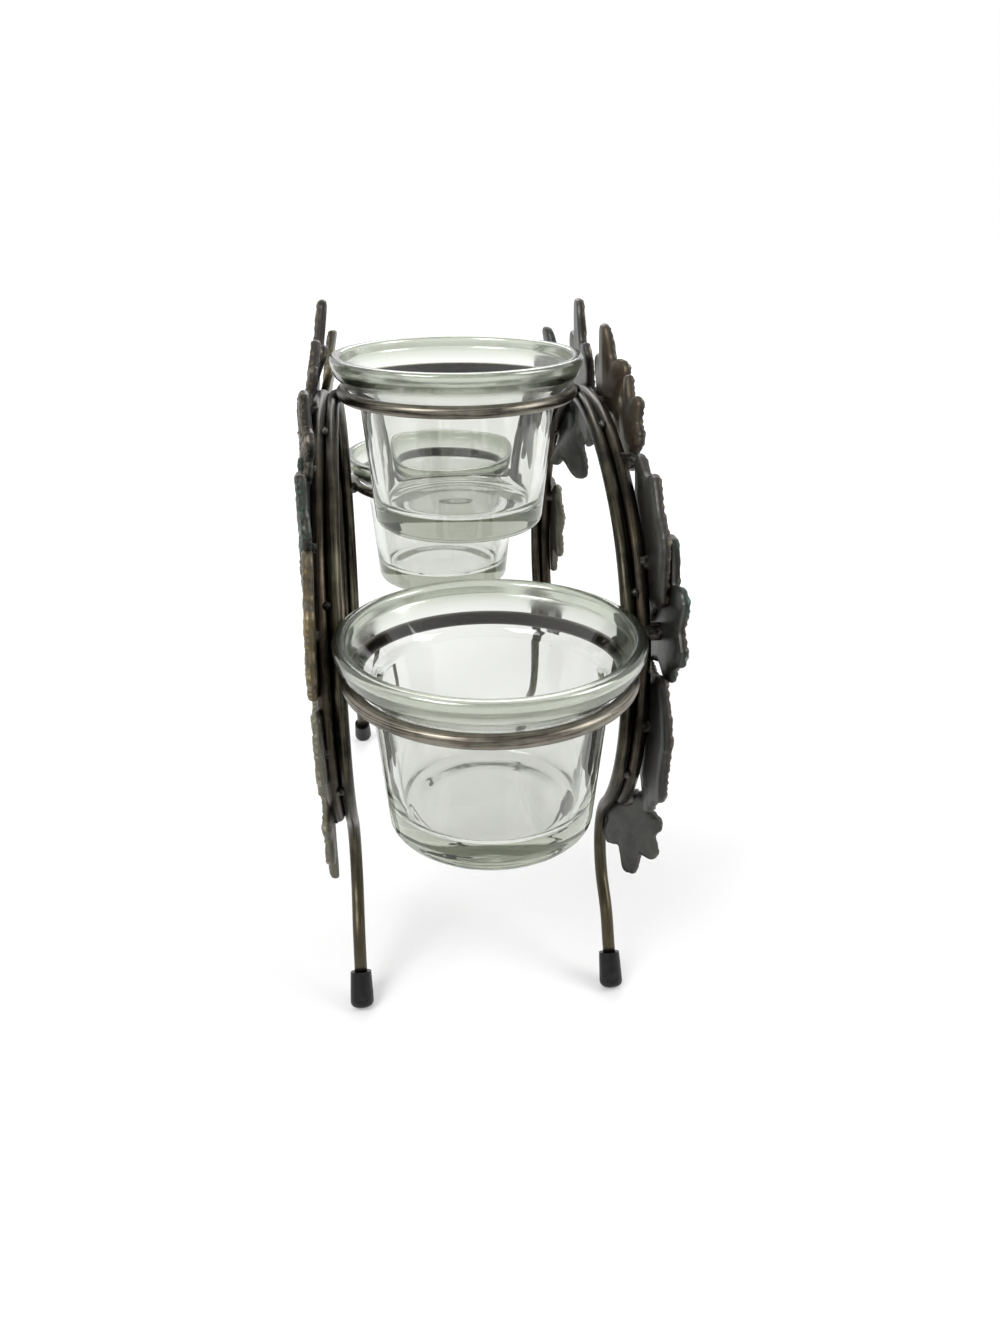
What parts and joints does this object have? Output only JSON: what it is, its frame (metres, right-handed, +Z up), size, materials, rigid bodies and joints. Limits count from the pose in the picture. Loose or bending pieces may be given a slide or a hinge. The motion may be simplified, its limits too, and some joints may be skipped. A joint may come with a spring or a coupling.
{
  "type": "votive candle holder",
  "caption": "Wire stand with omega-shaped side frames and lobed metal leaves that holds clear glass votive cups in rings, the middle cup raised.",
  "frame": {"origin": "on the floor under the middle cup, at the centre of the stand", "axes": "+Z up, Y along the row of cups with the front cup at -Y, +X to the right as seen from the front"},
  "size_m": [0.0984, 0.2406, 0.1726],
  "materials": {
    "glass": "clear, polished",
    "wire": "antique pewter",
    "leaf": "hammered, dark patina",
    "cap": "black vinyl",
    "weld": "as welded"
  },
  "bodies": {
    "stand": {"branch_welds": "weld", "front_left_foot_cap": "cap", "front_right_foot_cap": "cap", "front_ring": "wire", "left_arch_rod": "wire", "left_branch_rod": "wire", "left_front_crown_leaf": "leaf", "left_front_lower_leaf": "leaf", "left_front_outer_leaf": "leaf", "left_front_shoulder_leaf": "leaf", "left_front_upper_leaf": "leaf", "left_front_waist_leaf": "leaf", "left_leaf_welds": "weld", "left_rear_crown_leaf": "leaf", "left_rear_hanging_leaf": "leaf", "left_rear_shoulder_leaf": "leaf", "left_rear_side_leaf": "leaf", "left_rear_waist_leaf": "leaf", "middle_ring": "wire", "rear_left_foot_cap": "cap", "rear_right_foot_cap": "cap", "rear_ring": "wire", "right_arch_rod": "wire", "right_branch_rod": "wire", "right_front_crown_leaf": "leaf", "right_front_lower_leaf": "leaf", "right_front_outer_leaf": "leaf", "right_front_shoulder_leaf": "leaf", "right_front_upper_leaf": "leaf", "right_front_waist_leaf": "leaf", "right_leaf_welds": "weld", "right_rear_crown_leaf": "leaf", "right_rear_hanging_leaf": "leaf", "right_rear_shoulder_leaf": "leaf", "right_rear_side_leaf": "leaf", "right_rear_waist_leaf": "leaf", "ring_welds": "weld"},
    "front_cup": {"front_cup": "glass"},
    "middle_cup": {"middle_cup": "glass"},
    "rear_cup": {"rear_cup": "glass"}
  },
  "joints": [
    {"name": "front_cup_lift", "type": "slide", "parent": "stand", "child": "front_cup", "axis": [0, 0, 1], "range_m": [0, 0.06]},
    {"name": "middle_cup_lift", "type": "slide", "parent": "stand", "child": "middle_cup", "axis": [0, 0, 1], "range_m": [0, 0.06]},
    {"name": "rear_cup_lift", "type": "slide", "parent": "stand", "child": "rear_cup", "axis": [0, 0, 1], "range_m": [0, 0.06]}
  ]
}
